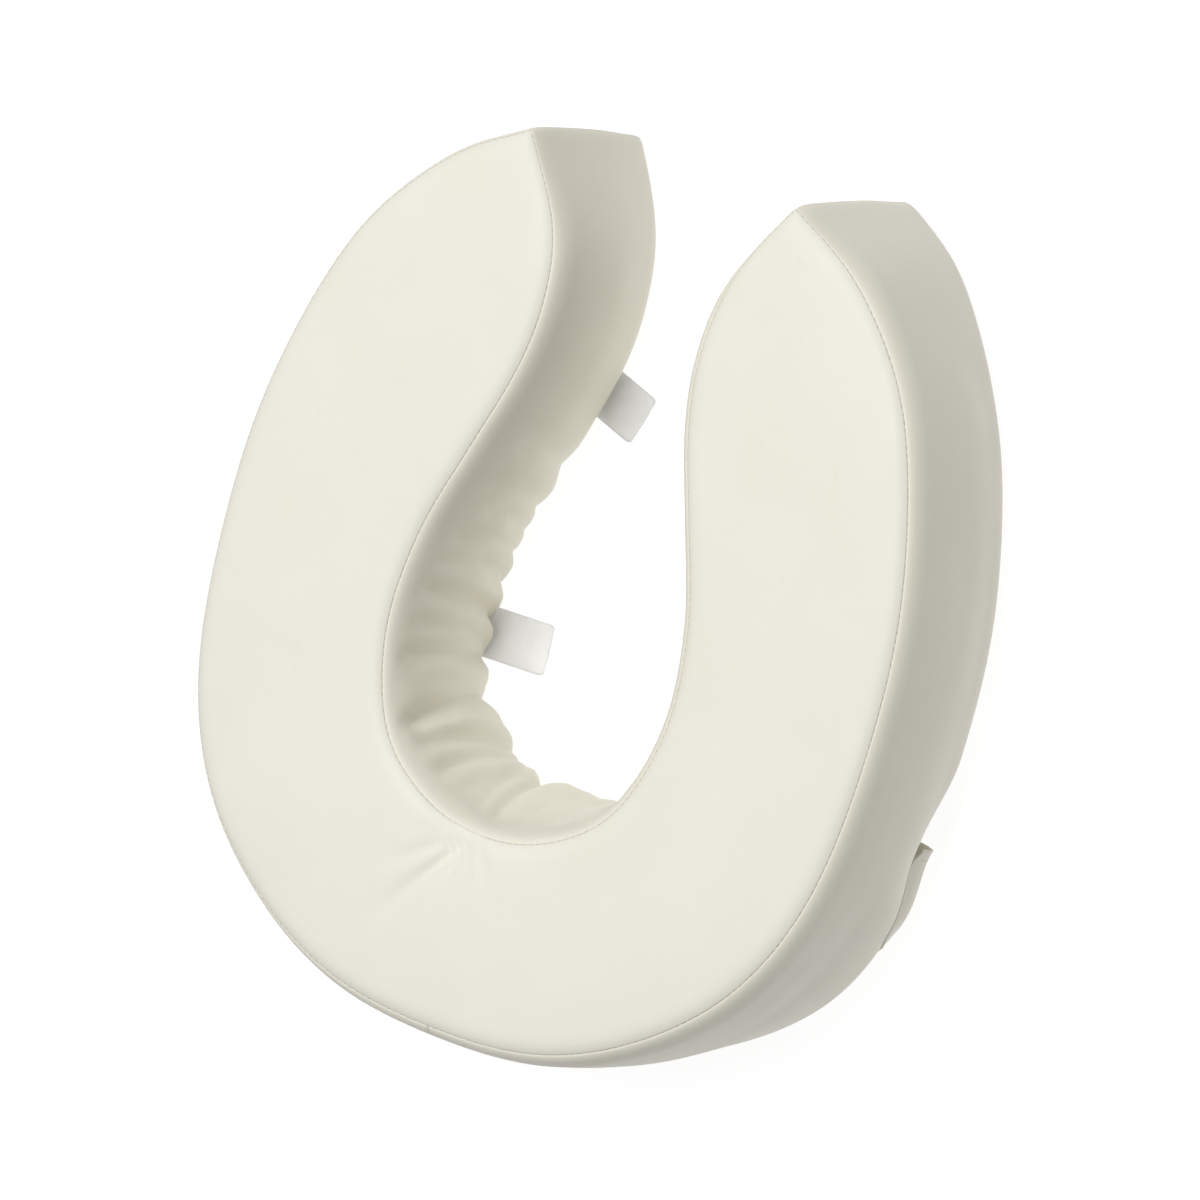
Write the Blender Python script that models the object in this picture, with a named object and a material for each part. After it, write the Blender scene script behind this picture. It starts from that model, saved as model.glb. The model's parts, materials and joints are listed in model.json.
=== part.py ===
"""Horseshoe cushion: a vinyl cover over a foam block, with a slip-on pocket and four straps.

Metres, +Z up. The cushion lies on its underside at z = 0. Its closed end is at the back, towards
-Y, its two arms run towards +Y, and the plane x = 0 is its plane of symmetry. The origin is in
the middle of its base.

Run with: blender --background --python part.py
"""

import math

import bmesh
import bpy
from mathutils import Vector

MM = 0.001

# Driving dimensions
LENGTH = 420 * MM
WIDTH = 368 * MM
HEIGHT = 102.8 * MM
BACK = -LENGTH / 2  # the closed end
UNDERSIDE = 3.0 * MM  # the bottom panel's height above the surface, room for the straps
PANEL = 1.2 * MM  # vinyl with its backing
GAP = 0.3 * MM
SEAM_INSET = 2.2 * MM
SEAM_GAP = 1.2 * MM  # space between a panel and the strip, where the seam's thread lies
THREAD_RADIUS = 0.4 * MM
PANEL_EDGE = 1.0 * MM  # how far the top panel's edge is rolled in
STRIP_TOP_ROLL = 5.4 * MM  # height over which the strip turns in to a seam, at its top
STRIP_BASE_ROLL = 3.6 * MM

# Half outlines of the plan, from the plane of symmetry to the arm's tip, as shares of half the
# width and of the length
OUTER_HALF = (
    (0.0, 0.0),
    (0.317, 0.014),
    (0.590, 0.069),
    (0.820, 0.162),
    (0.956, 0.291),
    (1.0, 0.465),
    (0.973, 0.640),
    (0.842, 0.823),
    (0.628, 0.940),
    (0.400, 1.0),
)
INNER_HALF = (
    (0.0, 0.235),
    (0.175, 0.251),
    (0.336, 0.306),
    (0.415, 0.411),
    (0.397, 0.525),
    (0.320, 0.632),
    (0.248, 0.728),
    (0.222, 0.811),
    (0.255, 0.900),
    (0.400, 1.0),
)
STEPS_PER_SPAN = 3
TIP_ROUND = 4 * MM

# Foam block
FOAM_CLEARANCE = 0.4 * MM  # to the strip's inside
FOAM_CORNER_INSET = 3 * MM
FOAM_BASE_CORNER = 5 * MM
FOAM_TOP_CORNER = 7 * MM

# Pocket under the closed end: its mouth stands open where the underside rises over it
POCKET_MOUTH_Y = BACK + 147 * MM
POCKET_CLOSED_Y = BACK + 94 * MM
POCKET_RAMP = 10 * MM
POCKET_RISE = 8 * MM
POCKET_LAP = -1.4 * MM  # behind the wedge the underside comes down to meet the pocket's panel
POCKET_INSET = 1.0 * MM
HEM_WIDTH = 10 * MM
HEM_RISE = 0.6 * MM
HEM_THREAD = 0.5 * MM
HEM_THREAD_MARGIN = 8 * MM

# Straps
STRAP_WIDTH = 25.4 * MM
STRAP_LENGTH = 136 * MM  # from the cover's outer edge to the free end
STRAP_EDGE_MARGIN = 4 * MM
ANCHOR_LENGTH = 14 * MM
STRAP_TOP = 1.25 * MM
STRAP_FLOOR = 0.15 * MM
STRAP_ROOT_GAP = 1.0 * MM
STRAP_CORNER = 3 * MM
HINGE_HEIGHT = -0.1 * MM
PATCH_LENGTH = 40 * MM
PATCH_MARGIN = 5 * MM  # from the opening's edge to the patch
STITCH_MARGIN = 3 * MM
STITCH_WIDTH = 0.8 * MM
# name, place of the strap's middle on the outer edge, slant to -X in degrees, free end's overhang
STRAPS = (
    ("front", (160 * MM, BACK + 336 * MM), -18.0, 23 * MM),
    ("rear", (183 * MM, BACK + 169 * MM), 2.0, 37 * MM),
)

IVORY = (0.80, 0.79, 0.71)
FOAM = (0.86, 0.80, 0.55)
THREAD = (0.83, 0.82, 0.76)
WHITE = (0.80, 0.80, 0.80)


def clear_scene():
    for obj in list(bpy.data.objects):
        bpy.data.objects.remove(obj)


def make_material(name, colour, roughness, metallic=0.0):
    material = bpy.data.materials.new(name)
    material.use_nodes = True
    shader = material.node_tree.nodes["Principled BSDF"]
    shader.inputs["Base Color"].default_value = (*colour, 1.0)
    shader.inputs["Roughness"].default_value = roughness
    shader.inputs["Metallic"].default_value = metallic
    material.diffuse_color = (*colour, 1.0)
    return material


def add_object(name, bm, material):
    """The bmesh as an object of its own, its faces turned outwards and shaded smooth."""
    bmesh.ops.recalc_face_normals(bm, faces=bm.faces)
    mesh = bpy.data.meshes.new(name)
    bm.to_mesh(mesh)
    bm.free()
    mesh.materials.append(material)
    mesh.shade_smooth()
    mesh.set_sharp_from_angle(angle=math.radians(35))
    obj = bpy.data.objects.new(name, mesh)
    bpy.context.scene.collection.objects.link(obj)
    return obj


def smooth_curve(points, before, after):
    """Catmull-Rom curve through the points. before and after are the neighbours of its ends."""
    chain = [Vector(p) for p in (before, *points, after)]
    curve = []
    for p0, p1, p2, p3 in zip(chain, chain[1:], chain[2:], chain[3:]):
        for step in range(STEPS_PER_SPAN):
            t = step / STEPS_PER_SPAN
            curve.append(
                p1
                + (p2 - p0) * (t / 2)
                + (2 * p0 - 5 * p1 + 4 * p2 - p3) * (t * t / 2)
                + (3 * p1 - p0 - 3 * p2 + p3) * (t**3 / 2)
            )
    curve.append(Vector(points[-1]))
    return curve


def half_outline(shares):
    """One half outline in metres, from the plane of symmetry to the tip."""
    points = [(x * WIDTH / 2, y * LENGTH) for x, y in shares]
    mirrored = (-points[1][0], points[1][1])
    beyond = Vector(points[-1]) * 2 - Vector(points[-2])
    return smooth_curve(points, mirrored, beyond)


def rounded_tip(outer, inner):
    """The outer half, a round tip, then the inner half back to the plane of symmetry."""
    tip = outer[-1]
    start = tip + (outer[-2] - tip).normalized() * TIP_ROUND
    end = tip + (inner[-2] - tip).normalized() * TIP_ROUND
    arc = []
    for t in (0.0, 0.33, 0.67, 1.0):
        arc.append(start * (1 - t) ** 2 + tip * 2 * t * (1 - t) + end * t**2)
    return outer[:-1] + arc + inner[-2::-1]


def plan_outline():
    """The cover's closed outline seen from above, anticlockwise from the closed end's middle."""
    right = rounded_tip(half_outline(OUTER_HALF), half_outline(INNER_HALF))
    half_width = max(p.x for p in right)
    length = max(p.y for p in right)
    right = [Vector((p.x * WIDTH / 2 / half_width, BACK + p.y * LENGTH / length)) for p in right]
    left = [Vector((-p.x, p.y)) for p in reversed(right[1:-1])]
    return right + left


def inset_loop(loop, distance):
    """The closed loop moved inwards by the distance, with mitred corners."""
    moved = []
    for before, here, after in zip(loop[-1:] + loop[:-1], loop, loop[1:] + loop[:1]):
        incoming = (here - before).normalized()
        outgoing = (after - here).normalized()
        first = Vector((-incoming.y, incoming.x))
        second = Vector((-outgoing.y, outgoing.x))
        moved.append(here + (first + second) * (distance / (1 + first.dot(second))))
    return moved


def part_below(loop, y):
    """The part of the closed loop on the closed end's side of y."""
    kept = []
    for here, after in zip(loop, loop[1:] + loop[:1]):
        if here.y < y:
            kept.append(here)
        if (here.y < y) != (after.y < y):
            kept.append(here.lerp(after, (y - here.y) / (after.y - here.y)))
    return kept


def sweep(loop, section, hollow=False):
    """A solid from the loop and its section, (inset, height) pairs that run upwards outside.

    A hollow one closes the section on itself and leaves the loop's middle open.
    """
    bm = bmesh.new()
    rings = []
    for inset, height in section:
        rings.append([bm.verts.new((p.x, p.y, height)) for p in inset_loop(loop, inset)])
    above = rings[1:] + rings[:1] if hollow else rings[1:]
    for lower, upper in zip(rings, above):
        for i in range(len(loop)):
            bm.faces.new((lower[i - 1], lower[i], upper[i], upper[i - 1]))
    if not hollow:
        bm.faces.new(rings[0])
        bm.faces.new(rings[-1])
    return bm


def underside_rise(y):
    """How much higher the underside is at y than under the arms."""
    if y >= POCKET_MOUTH_Y + POCKET_RAMP:
        return 0.0
    if y >= POCKET_MOUTH_Y:
        return POCKET_RISE * (POCKET_MOUTH_Y + POCKET_RAMP - y) / POCKET_RAMP
    if y >= POCKET_CLOSED_Y:
        share = (y - POCKET_CLOSED_Y) / (POCKET_MOUTH_Y - POCKET_CLOSED_Y)
        return POCKET_LAP + (POCKET_RISE - POCKET_LAP) * share
    return POCKET_LAP


def cut_across(bm, y):
    everything = bm.verts[:] + bm.edges[:] + bm.faces[:]
    bmesh.ops.bisect_plane(bm, geom=everything, plane_co=(0, y, 0), plane_no=(0, 1, 0))


def shape_underside(bm):
    """Moves what is near the underside to leave the pocket its wedge of space."""
    for y in (POCKET_CLOSED_Y, POCKET_MOUTH_Y, POCKET_MOUTH_Y + POCKET_RAMP):
        cut_across(bm, y)
    for vert in bm.verts:
        if vert.co.z < HEIGHT / 4:
            vert.co.z += underside_rise(vert.co.y)


def round_section(inset, height, radius, sides=6):
    """A thread's section, starting outside and turning upwards."""
    turns = [2 * math.pi * (i + 0.5) / sides for i in range(sides)]
    return [(inset - radius * math.cos(a), height + radius * math.sin(a)) for a in turns]


def add_cover(loop, vinyl, thread):
    panel_top = HEIGHT - PANEL
    strip_top = panel_top - SEAM_GAP
    strip_bottom = UNDERSIDE + PANEL + SEAM_GAP

    top = [
        (SEAM_INSET, panel_top),
        (SEAM_INSET, HEIGHT - PANEL / 3),
        (SEAM_INSET + PANEL_EDGE, HEIGHT),
    ]
    add_object("top_panel", sweep(loop, top), vinyl)

    outside = [
        (SEAM_INSET, strip_bottom),
        (0.0, strip_bottom + STRIP_BASE_ROLL),
        (0.0, strip_top - STRIP_TOP_ROLL),
        (SEAM_INSET, strip_top),
    ]
    inside = [(inset + PANEL, height) for inset, height in reversed(outside)]
    strip = sweep(loop, outside + inside, hollow=True)
    shape_underside(strip)
    add_object("boxing_strip", strip, vinyl)

    bottom = sweep(loop, [(SEAM_INSET, UNDERSIDE), (SEAM_INSET, UNDERSIDE + PANEL)])
    shape_underside(bottom)
    add_object("bottom_panel", bottom, vinyl)

    upper = round_section(SEAM_INSET, strip_top + SEAM_GAP / 2, THREAD_RADIUS)
    add_object("top_seam_thread", sweep(loop, upper, hollow=True), thread)
    lower = round_section(SEAM_INSET, strip_bottom - SEAM_GAP / 2, THREAD_RADIUS)
    lower_thread = sweep(loop, lower, hollow=True)
    shape_underside(lower_thread)
    add_object("bottom_seam_thread", lower_thread, thread)


def add_foam(loop, foam):
    side = PANEL + FOAM_CLEARANCE
    bottom = UNDERSIDE + PANEL + GAP
    top = HEIGHT - PANEL - GAP
    section = [
        (side + FOAM_CORNER_INSET, bottom),
        (side, bottom + FOAM_BASE_CORNER),
        (side, top - FOAM_TOP_CORNER),
        (side + FOAM_CORNER_INSET, top),
    ]
    block = sweep(loop, section)
    shape_underside(block)
    add_object("foam_core", block, foam)


def add_pocket(loop, vinyl, thread):
    """The panel under the closed end, its folded hem at the mouth, and the hem's two threads."""
    outline = part_below(inset_loop(loop, POCKET_INSET), POCKET_MOUTH_Y)
    panel = sweep(outline, [(0, 0), (0, PANEL)])
    hem_start = POCKET_MOUTH_Y - HEM_WIDTH
    cut_across(panel, hem_start)
    cut_across(panel, hem_start + HEM_RISE)
    for vert in panel.verts:
        if vert.co.z > PANEL / 2 and vert.co.y > hem_start + HEM_RISE / 2:
            vert.co.z += HEM_RISE
    add_object("pocket_panel", panel, vinyl)

    height = PANEL + HEM_RISE + GAP
    middle = POCKET_MOUTH_Y - HEM_WIDTH / 2
    inner_x = edge_at(loop, middle, outer=False) + HEM_THREAD_MARGIN
    outer_x = edge_at(loop, middle, outer=True) - HEM_THREAD_MARGIN
    half = HEM_THREAD / 2
    for side, name in ((1, "right"), (-1, "left")):
        corners = [
            Vector((side * inner_x, middle - half)),
            Vector((side * outer_x, middle - half)),
            Vector((side * outer_x, middle + half)),
            Vector((side * inner_x, middle + half)),
        ]
        row = sweep(corners if side > 0 else corners[::-1], [(0, height), (0, height + HEM_THREAD)])
        add_object(f"{name}_hem_thread", row, thread)


def edge_at(loop, y, outer):
    """The outline's x on the right at height y, on its outer or its inner edge."""
    crossings = []
    for a, b in zip(loop, loop[1:] + loop[:1]):
        if (a.y - y) * (b.y - y) < 0 and a.x > 0:
            crossings.append(a.x + (b.x - a.x) * (y - a.y) / (b.y - a.y))
    return max(crossings) if outer else min(crossings)


def tape_outline(start, end, half_width, corner):
    """A straight piece of tape seen from above along local X, its far end's corners cut round."""
    points = [Vector((start, -half_width))]
    for side in (-1, 1):
        centre = Vector((end - corner, side * (half_width - corner)))
        for step in range(4):
            angle = math.pi / 6 * (step - 3) if side < 0 else math.pi / 6 * step
            points.append(centre + corner * Vector((math.cos(angle), math.sin(angle))))
    points.append(Vector((start, half_width)))
    return points


def box_outline(start, end, half_width):
    return [
        Vector((start, -half_width)),
        Vector((end, -half_width)),
        Vector((end, half_width)),
        Vector((start, half_width)),
    ]


def add_strap(name, edge_point, heading, overhang, tape, hooks, thread):
    """One strap with what holds it. Local X runs from the hinge line towards the opening."""
    direction = Vector((math.cos(heading), math.sin(heading)))
    half = STRAP_WIDTH / 2
    to_hinge = STRAP_EDGE_MARGIN + ANCHOR_LENGTH + STRAP_ROOT_GAP
    hinge = Vector(edge_point) + direction * to_hinge
    free_end = STRAP_LENGTH - to_hinge

    empty = bpy.data.objects.new(f"{name}_strap_hinge", None)
    empty.location = (hinge.x, hinge.y, HINGE_HEIGHT)
    empty.rotation_euler = (0, 0, heading)
    bpy.context.scene.collection.objects.link(empty)

    anchor_end = -STRAP_ROOT_GAP
    anchor_start = anchor_end - ANCHOR_LENGTH
    opening_edge = free_end - overhang
    patch_end = opening_edge - PATCH_MARGIN
    patch_bottom = STRAP_TOP + GAP
    patch_top = UNDERSIDE - GAP
    stitch = box_outline(
        anchor_start + STITCH_MARGIN, anchor_end - STITCH_MARGIN, half - STITCH_MARGIN
    )
    stitch_section = [
        (0, patch_bottom),
        (0, patch_top),
        (STITCH_WIDTH, patch_top),
        (STITCH_WIDTH, patch_bottom),
    ]
    pieces = (
        (
            "strap",
            sweep(
                tape_outline(STRAP_ROOT_GAP, free_end, half, STRAP_CORNER),
                [(0, STRAP_FLOOR), (0, STRAP_TOP)],
            ),
            tape,
        ),
        (
            "strap_anchor",
            sweep(box_outline(anchor_start, anchor_end, half), [(0, 0), (0, STRAP_TOP)]),
            tape,
        ),
        ("strap_box_stitch", sweep(stitch, stitch_section, hollow=True), thread),
        (
            "hook_patch",
            sweep(
                box_outline(patch_end - PATCH_LENGTH, patch_end, half),
                [(0, patch_bottom), (0, patch_top)],
            ),
            hooks,
        ),
    )
    for piece, bm, material in pieces:
        bmesh.ops.translate(bm, verts=bm.verts, vec=(0, 0, -HINGE_HEIGHT))
        obj = add_object(f"{name}_{piece}", bm, material)
        obj.parent = empty


def main():
    clear_scene()
    vinyl = make_material("ivory_vinyl", IVORY, 0.45)
    foam = make_material("foam", FOAM, 0.9)
    thread = make_material("thread", THREAD, 0.6)
    tape = make_material("loop_tape", WHITE, 0.8)
    hooks = make_material("hook_tape", WHITE, 0.6)

    loop = plan_outline()
    add_foam(loop, foam)
    add_cover(loop, vinyl, thread)
    add_pocket(loop, vinyl, thread)
    for end, (x, y), slant, overhang in STRAPS:
        inwards = math.pi - math.radians(slant)
        add_strap(f"{end}_right", (x, y), inwards, overhang, tape, hooks, thread)
        add_strap(f"{end}_left", (-x, y), math.pi - inwards, overhang, tape, hooks, thread)
    bpy.context.view_layer.update()


main()
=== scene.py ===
"""Looks of the horseshoe cushion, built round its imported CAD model.

The cover is one closed surface, made of rings that run along the outline and of lines that cross
the two arms. It is puffed up by a cloth simulation, its folds are pressed in, and it is cut at its
seams into the top panel, the boxing strip and the bottom panel, each with its own thickness. The
foam block, the pocket and the seams' stitches follow the same surface; the straps start at their
joints. Lengths below are in millimetres in the CAD frame, whose origin is in the middle of the
base; meshes are turned into metres when they are made.
"""

import json
import math

import bpy
import numpy as np
from mathutils import Matrix, Vector


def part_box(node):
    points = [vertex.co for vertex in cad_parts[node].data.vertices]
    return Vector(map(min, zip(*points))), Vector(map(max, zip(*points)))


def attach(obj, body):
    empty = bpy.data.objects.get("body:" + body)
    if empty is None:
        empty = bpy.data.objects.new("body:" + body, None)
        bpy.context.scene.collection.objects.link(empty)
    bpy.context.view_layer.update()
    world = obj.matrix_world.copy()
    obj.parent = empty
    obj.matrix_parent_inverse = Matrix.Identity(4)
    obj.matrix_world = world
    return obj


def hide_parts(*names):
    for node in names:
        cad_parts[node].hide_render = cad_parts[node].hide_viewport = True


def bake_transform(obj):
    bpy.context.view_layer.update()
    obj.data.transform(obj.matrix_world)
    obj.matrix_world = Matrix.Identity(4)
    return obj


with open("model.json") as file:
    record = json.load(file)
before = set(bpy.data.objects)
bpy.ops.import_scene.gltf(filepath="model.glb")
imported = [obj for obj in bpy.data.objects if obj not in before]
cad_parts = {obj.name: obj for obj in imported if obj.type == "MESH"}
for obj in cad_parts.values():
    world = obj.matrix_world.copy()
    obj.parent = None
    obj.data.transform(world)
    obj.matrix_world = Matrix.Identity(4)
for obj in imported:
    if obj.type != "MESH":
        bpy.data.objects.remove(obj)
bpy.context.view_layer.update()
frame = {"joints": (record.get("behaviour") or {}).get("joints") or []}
MM = 0.001

STRIP_LOW, STRIP_HIGH = (np.array(corner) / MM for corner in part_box("boxing_strip"))
WIDTH = STRIP_HIGH[0] - STRIP_LOW[0]
LENGTH = STRIP_HIGH[1] - STRIP_LOW[1]
BACK = STRIP_LOW[1]

# Half outlines of the plan, as shares of half the width and of the length, from the plane of
# symmetry to the tip of an arm
OUTER_HALF = (
    (0.0, 0.0),
    (0.317, 0.014),
    (0.590, 0.069),
    (0.820, 0.162),
    (0.956, 0.291),
    (1.0, 0.465),
    (0.973, 0.640),
    (0.842, 0.823),
    (0.628, 0.940),
    (0.400, 1.0),
)
INNER_HALF = (
    (0.0, 0.235),
    (0.175, 0.251),
    (0.336, 0.306),
    (0.415, 0.411),
    (0.397, 0.525),
    (0.320, 0.632),
    (0.248, 0.728),
    (0.222, 0.811),
    (0.255, 0.900),
    (0.400, 1.0),
)
TIP_ROUND = 4.0
OUTLINE_SMOOTHING = 7.0

# Mesh density
SIDE = 150  # steps along an arm's outer edge, and along its inner one
LOOP = 4 * SIDE
TOP_ACROSS = 26  # points across an arm, between the innermost rings
BOTTOM_ACROSS = 12

# Section of the cover, as (inset, height) of its rings. The top panel's run from its middle out to
# the seam, the strip's from that seam down and round the lower corner to the other seam.
TOP_HEIGHT = 104.0
TOP_RINGS = (
    (16.0, 103.95),
    (12.5, 103.86),
    (9.8, 103.66),
    (7.8, 103.36),
    (6.2, 102.95),
    (5.0, 102.45),
    (4.0, 101.90),
    (3.2, 101.35),
)
SEAM_RING = (2.70, 100.90)
STRIP_TOP_RINGS = (
    (2.30, 100.95),
    (1.70, 100.70),
    (1.00, 100.20),
    (0.25, 99.50),
    (-0.50, 98.50),
    (-1.20, 97.25),
    (-1.85, 95.70),
    (-2.40, 93.90),
    (-2.85, 91.80),
    (-3.15, 89.30),
)
WALL_HEIGHTS = tuple(np.linspace(86.0, 16.0, 19))
WALL_INSET, FULL_WALL_INSET, LOW_WALL_INSET = -3.3, -3.9, -0.9
STRIP_BASE_RINGS = (
    (-0.2, 12.0),
    (0.6, 9.2),
    (1.8, 6.8),
    (3.3, 5.1),
    (5.0, 4.0),
)
BASE_SEAM_RING = (8.4, 3.35)
BASE_RINGS = ((10.0, 3.1), (12.5, 3.0), (15.0, 3.0))
BASE_HEIGHT = 3.0

# Numbers of the rings at the seams and at the wall's two ends
TOP_SEAM = len(TOP_RINGS)
FIRST_WALL = TOP_SEAM + 1 + len(STRIP_TOP_RINGS)
FOOT_RING = FIRST_WALL + len(WALL_HEIGHTS)
BASE_SEAM = FOOT_RING + len(STRIP_BASE_RINGS)

SKIN = 1.2  # thickness of the vinyl

# The foam block, inside the cover
FOAM_GAP = 3.0  # to the cover's inside, and the same at its base
FOAM_BASE_GAP = 2.4
FOLD_ROOM = 8.0  # more room behind the inner wall, for its folds
FOAM_CORNER = 7.0  # how far its lower edge is drawn in
FOAM_STEP = 3  # of the cover's points along the outline, it has one in so many
FOAM_ACROSS = 8  # points across an arm

# The cloth simulation
CLOTH_FRAMES = 20
PRESSURE = 4.0
MOST_MOVED = 2.6  # how far a point of the walls may move
TOP_MOVED = 1.2  # and one of the top

# Gathers of the inner wall: arc position at three heights (top, middle, base) measured along the
# inner edge from the plane of symmetry, negative on the left arm, height where the fold starts,
# depth, half width. The right arm mirrors them, each moved a little.
GATHERS = (
    (-214, -213, -210, 78, 1.3, 7.0),
    (-190, -187, -186, 80, 1.9, 5.0),
    (-177, -176, -173, 74, 2.0, 4.5),
    (-161, -160, -161, 84, 2.3, 4.5),
    (-148, -149, -146, 87, 2.4, 4.5),
    (-135, -129, -127, 91, 3.1, 5.0),
    (-117, -116, -114, 91, 2.6, 4.5),
    (-103, -104, -106, 93, 3.3, 5.0),
    (-88, -91, -96, 80, 1.6, 4.0),
    (-71, -81, -88, 95, 3.6, 5.0),
    (-60, -58, -55, 92, 3.0, 4.5),
    (-44, -47, -47, 88, 2.4, 4.0),
)
GATHER_STRENGTH = 1.7

# How far the inner wall's foot stands into the opening at the closed end, and the bunched part in
# its middle
FOOT_SWELL = 10.0
LOBE_SWELL = 7.5

# Folds down the bunched part: arc position at its top and foot, depth, half width
LOBE_FOLDS = ((-1, -27, 4.6, 4.6), (3, 15, 2.1, 6.0), (14, 30, 1.8, 4.5), (-9, -43, 1.6, 3.5))

# Wrinkles of the top panel that start where the inner wall bunches up: heading in degrees, depth
# and length
WRINKLE_START = (-1.5, BACK + 98.5)
WRINKLES = (
    (-126, 3.8, 84),
    (-111, 2.8, 66),
    (-145, 2.6, 64),
    (-92, 1.6, 56),
    (-62, 1.2, 48),
    (-162, 1.6, 42),
)

# How far the tips are moved, at the top and at the foot
RIGHT_TIP_TOP, RIGHT_TIP_FOOT = (-3.4, 2.0), (4.6, 13.0)
LEFT_TIP_TOP, LEFT_TIP_FOOT = (0.0, 0.0), (4.0, 5.0)

# How much of the wall's bulge there is at the closed end, at the left arm's outer edge and at the
# tips
END_BULGE, LEFT_BULGE, TIP_BULGE = 0.95, 0.55, 0.4

# The pocket under the closed end
MOUTH_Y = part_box("pocket_panel")[1].y / MM
POCKET_BACK_Y = MOUTH_Y - 75.0
POCKET_SWELL = 4.5  # how far the wall's foot stands out over the pocket
MOUTH_LIFT = 8.0  # how far the cover's lower edge is drawn up beside the mouth
MOUTH_GAP = 1.3  # how far the rim stands off at the mouth
LAP = 1.4  # how far the underside comes down on the pocket's panel, behind the mouth
POCKET_SKIN = 0.7
POCKET_MARGIN = 10.0  # from the opening's edge to the panel's
HEM = 10.0  # width of the hem at the mouth

# The straps
STRAPS = ("front_right", "front_left", "rear_right", "rear_left")
TAPE_WIDTH = 25.4
TAPE_SKIN = 1.0
TAPE_CORNER = 3.0
FREE_LENGTH = 119.0  # from the fold to the free end
ROOT_LENGTH = 9.0  # from the fold back to the sewn end
PATCH_HALF = 20.0  # half the length of a patch of hooks
PATCH_CORNER = 2.0

# Colours
VINYL_LIGHT = (0.842, 0.822, 0.735)
VINYL_DARK = (0.822, 0.800, 0.706)
# Darker colour of the seams: partly dirt, partly painted shade in their grooves
VINYL_DIRT_AND_SHADE = (0.80, 0.775, 0.67)
# Painted shade: a warmer tint for the strip's and the pocket's vinyl, for the warm tone of the shaded
# walls
STRIP_WARM_SHADE_TINT = (0.992, 0.983, 0.957)
TAPE_WHITE = (0.70, 0.70, 0.705, 1)
TAPE_SHADE = (0.63, 0.63, 0.635, 1)
TAPE_GLOW = 0.14  # painted light: the tape glows a little, which lightens it in the arm's shadow

# The studio, in metres and watts. The floor's glow fades between two distances from its centre.
FLOOR_GLOW, FAR_FLOOR_GLOW = 0.92, 0.5
GLOW_CENTRE = (-0.055, -0.01, 0.0)
GLOW_FADE = (0.46, 0.9)
WORLD_LIGHT = 0.12
KEY_PLACE = (-0.4, 1.1, 4.75)
KEY_SIZE = 2.8
KEY_POWER = 230
CAMERA_PLACE = (1.4608, 0.3968, 2.7158)
CAMERA_RIGHT = (0.82839, 0.26529, -0.49334)
CAMERA_UP = (-0.29415, 0.95555, 0.01990)
CAMERA_BACK = (0.47669, 0.12863, 0.86961)
CAMERA_LENS = 195.3


def shares_to_points(shares):
    return np.array([(x * WIDTH / 2, BACK + y * LENGTH) for x, y in shares])


def smooth_curve(points, before, after, steps=60):
    """Catmull-Rom curve through the points. before and after are the neighbours of its ends."""
    chain = np.array([before, *points, after])
    t = np.arange(steps)[:, None] / steps
    spans = []
    for p0, p1, p2, p3 in zip(chain, chain[1:], chain[2:], chain[3:]):
        spans.append(
            p1
            + (p2 - p0) * (t / 2)
            + (2 * p0 - 5 * p1 + 4 * p2 - p3) * (t * t / 2)
            + (3 * p1 - p0 - 3 * p2 + p3) * (t**3 / 2)
        )
    return np.vstack([*spans, points[-1:]])


def resample(line, count):
    """The line's points at count equal steps, its ends included."""
    at = np.concatenate([[0], np.cumsum(np.linalg.norm(np.diff(line, axis=0), axis=1))])
    wanted = np.linspace(0, at[-1], count + 1)
    return np.stack([np.interp(wanted, at, line[:, k]) for k in range(line.shape[1])], axis=1)


def length_of(line):
    return np.linalg.norm(np.diff(line, axis=0), axis=1).sum()


def half_outline(shares):
    """A half outline with a point every millimetre and its curvature evened out."""
    points = shares_to_points(shares)
    mirrored = points[1] * (-1, 1)
    curve = smooth_curve(points, mirrored, 2 * points[-1] - points[-2])
    curve = resample(curve, round(length_of(curve)))
    reach = round(3 * OUTLINE_SMOOTHING)
    before = curve[reach:0:-1] * (-1, 1)
    after = 2 * curve[-1] - curve[-2 : -reach - 2 : -1]
    padded = np.vstack([before, curve, after])
    weights = np.exp(-((np.arange(-reach, reach + 1) / OUTLINE_SMOOTHING) ** 2) / 2)
    weights /= weights.sum()
    return np.stack([np.convolve(padded[:, k], weights, "valid") for k in range(2)], axis=1)


def right_side():
    """The right half of the plan's outline: points, outward normals and the tip's index."""
    outer, inner = half_outline(OUTER_HALF), half_outline(INNER_HALF)
    tip = outer[-1]
    round_steps = round(TIP_ROUND)
    start, end = outer[-1 - round_steps], inner[-1 - round_steps]
    t = np.linspace(0, 1, 9)[1:-1, None]
    arc = start * (1 - t) ** 2 + tip * 2 * t * (1 - t) + end * t**2
    points = np.vstack([outer[:-round_steps], arc, inner[-1 - round_steps :: -1]])
    low = np.array((0.0, BACK))
    scale = np.array((WIDTH / 2 / points[:, 0].max(), LENGTH / (points[:, 1].max() - BACK)))
    points = low + (points - low) * scale
    return points, outward_normals(points), len(outer) - round_steps + 3


def outward_normals(points):
    """Normals of an anticlockwise line that meets the plane of symmetry at right angles."""
    tangents = np.gradient(points, axis=0)
    tangents[0], tangents[-1] = (1, 0), (-1, 0)
    normals = np.stack([tangents[:, 1], -tangents[:, 0]], axis=1)
    return normals / np.linalg.norm(normals, axis=1)[:, None]


BASE_LINE, BASE_NORMALS, TIP_INDEX = right_side()


def mirrored_loop(right):
    """A closed loop from its right half, which starts and ends on the plane of symmetry."""
    return np.vstack([right, (right * (-1, 1))[-2:0:-1]])


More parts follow.
